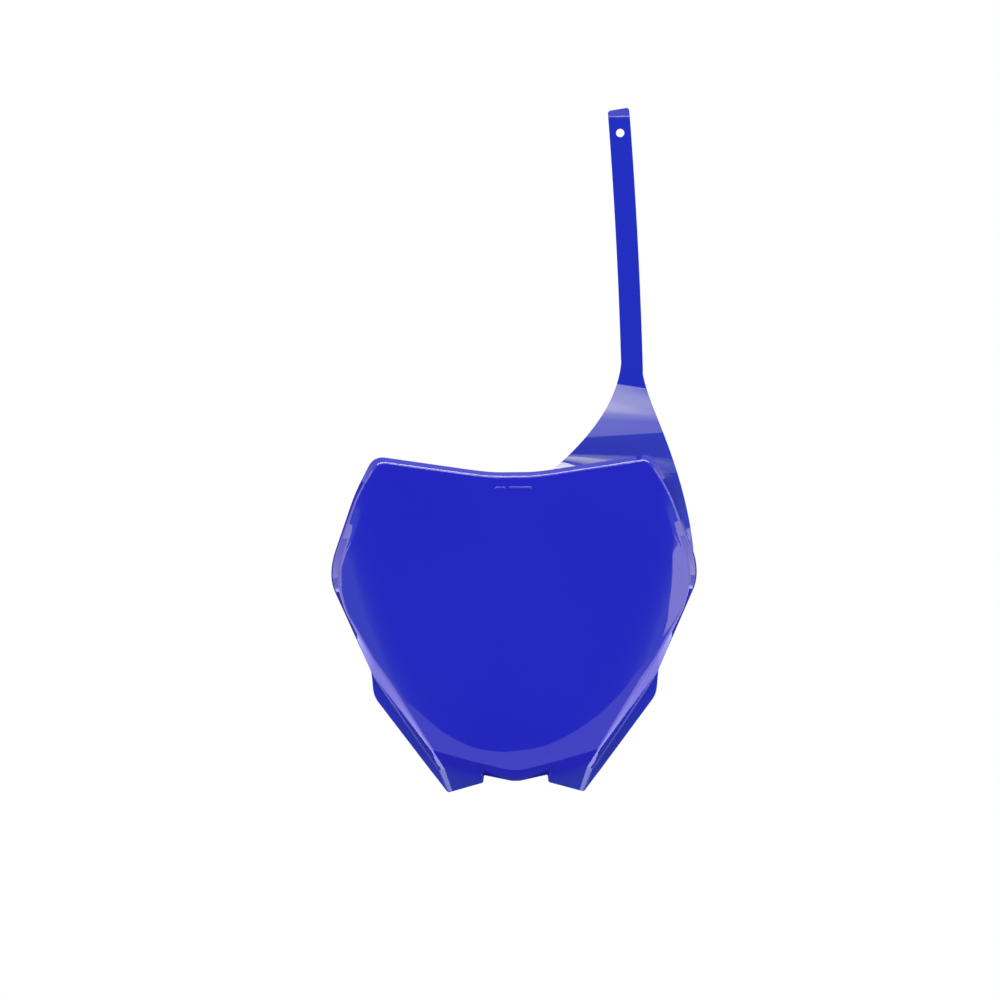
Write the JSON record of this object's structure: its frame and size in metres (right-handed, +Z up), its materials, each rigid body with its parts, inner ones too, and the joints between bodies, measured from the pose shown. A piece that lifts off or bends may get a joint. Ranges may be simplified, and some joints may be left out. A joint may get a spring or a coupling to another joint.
{
  "type": "racing number board",
  "caption": "Motocross front number board moulded in one piece, with a curled face, flanged legs and feet and an offset handlebar strap that ends in a hole.",
  "frame": {"origin": "middle of the hole near the strap's end, halfway through the strap's thickness", "axes": "+X to the right as seen from the front, +Y back through the strap towards the handlebar, +Z up along the board"},
  "size_m": [0.2416, 0.0512, 0.4524],
  "materials": {
    "moulding": "glossy blue injection-moulded plastic"
  },
  "bodies": {
    "root": {"number_board": "moulding"}
  },
  "joints": []
}
